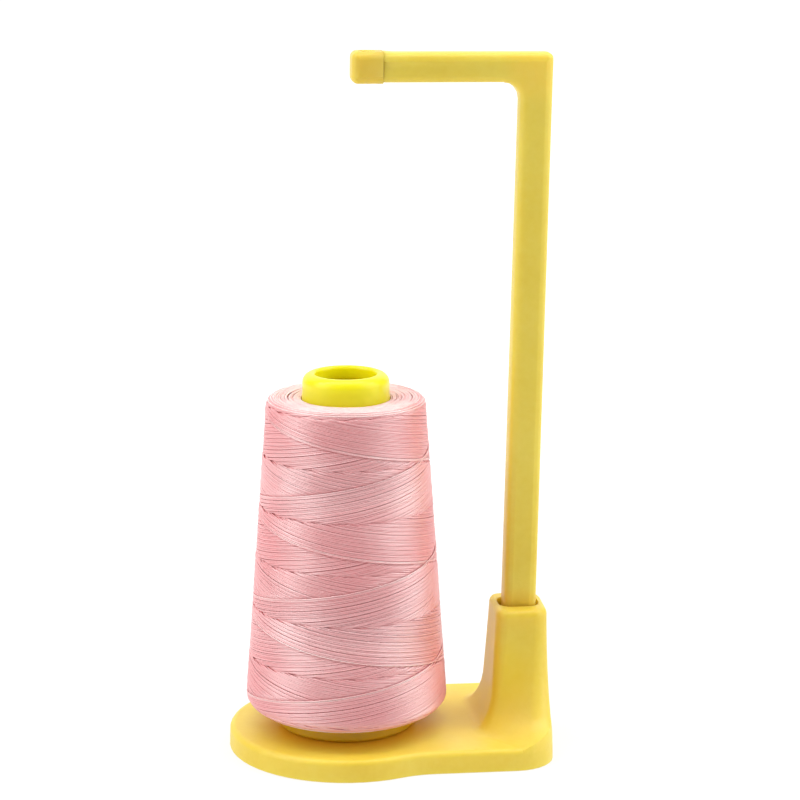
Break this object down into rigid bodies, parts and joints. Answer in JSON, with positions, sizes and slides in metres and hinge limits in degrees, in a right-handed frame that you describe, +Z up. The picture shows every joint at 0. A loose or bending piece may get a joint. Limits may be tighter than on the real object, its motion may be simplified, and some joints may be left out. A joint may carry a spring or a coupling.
{
  "type": "thread spool stand",
  "caption": "Stand for a thread spool: a moulded base with a turning spool holder, and an L-shaped rod in a socket whose arm guides the thread above the cone.",
  "frame": {"origin": "on the table, under the middle of the base's length and width", "axes": "+Z up, +X from the spool towards the rod's tower, +Y away from the side the picture shows"},
  "size_m": [0.0974, 0.072, 0.2124],
  "materials": {
    "stand_plastic": "satin moulded plastic",
    "core_plastic": "glossy moulded plastic",
    "thread": "fine wound sewing thread"
  },
  "bodies": {
    "base": {"base": "stand_plastic", "spool_pin": "stand_plastic"},
    "cone_holder": {"cone_holder": "stand_plastic"},
    "spool": {"cone_core": "core_plastic", "thread_package": "thread", "outer_thread_turns": "thread"},
    "rod": {"support_rod": "stand_plastic", "thread_guide": "stand_plastic"}
  },
  "joints": [
    {"name": "spool_spin", "type": "hinge", "parent": "base", "child": "cone_holder", "pos_m": [-0.01255, 0, 0.04], "axis": [0, 0, 1], "continuous": true},
    {"name": "spool_lift", "type": "slide", "parent": "cone_holder", "child": "spool", "axis": [0, 0, 1], "range_m": [0, 0.07]},
    {"name": "rod_lift", "type": "slide", "parent": "base", "child": "rod", "axis": [0.0192, 0, 0.9998], "range_m": [0, 0.04]}
  ]
}
